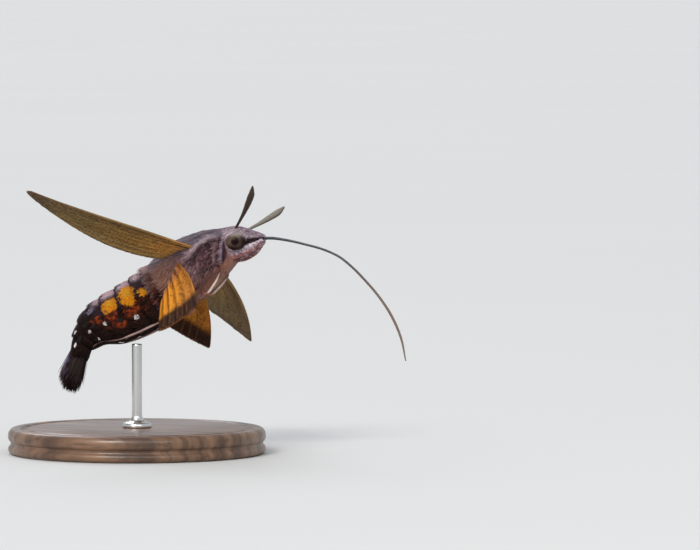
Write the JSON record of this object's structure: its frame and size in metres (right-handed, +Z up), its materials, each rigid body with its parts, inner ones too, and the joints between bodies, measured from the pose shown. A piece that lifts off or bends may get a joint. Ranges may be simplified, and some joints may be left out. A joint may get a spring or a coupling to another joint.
{
  "type": "hummingbird hawk moth",
  "caption": "Life-size still model of a day-flying hawk moth hovering on a small display stand, tongue out and wings in mid beat.",
  "frame": {"origin": "middle of the stand's flat underside, on the floor", "axes": "+X the way the moth heads, +Y its left, +Z up"},
  "size_m": [0.0486, 0.0451, 0.0315],
  "materials": {
    "grey_pile": "pinkish grey-brown hair-like scales with pale tips",
    "pale_pile": "white to pink scales of the palps and cheeks",
    "banded_scales": "lilac-grey above, orange patches and rust-red on the flanks, black-brown belly",
    "dark_scales": "black-brown scales with small white side tufts",
    "antenna_scales": "dark brown, ringed, paler above",
    "forewing_scales": "ochre-brown scales, orange towards the root",
    "hindwing_scales": "orange-yellow scales with a dark brown outer border",
    "eye": "grey-brown facets with a dark pupil-like spot",
    "horny": "blue-black, ringed",
    "leg_scales": "pale cream-brown scales",
    "stand_wood": "dark stained, satin",
    "stand_metal": "satin"
  },
  "bodies": {
    "root": {"head": "grey_pile", "thorax": "grey_pile", "eye_left": "eye", "eye_right": "eye", "palp_left": "pale_pile", "palp_right": "pale_pile", "antenna_left": "antenna_scales", "antenna_right": "antenna_scales", "proboscis": "horny", "abdomen_front": "banded_scales", "abdomen_rear": "dark_scales", "tail_fan": "dark_scales", "forewing_left": "forewing_scales", "forewing_right": "forewing_scales", "hindwing_left": "hindwing_scales", "hindwing_right": "hindwing_scales", "foreleg_left": "leg_scales", "foreleg_right": "leg_scales", "midleg_left": "leg_scales", "midleg_right": "leg_scales", "hindleg_left": "leg_scales", "hindleg_right": "leg_scales", "stand_base": "stand_wood", "stand_rod": "stand_metal"}
  },
  "joints": []
}
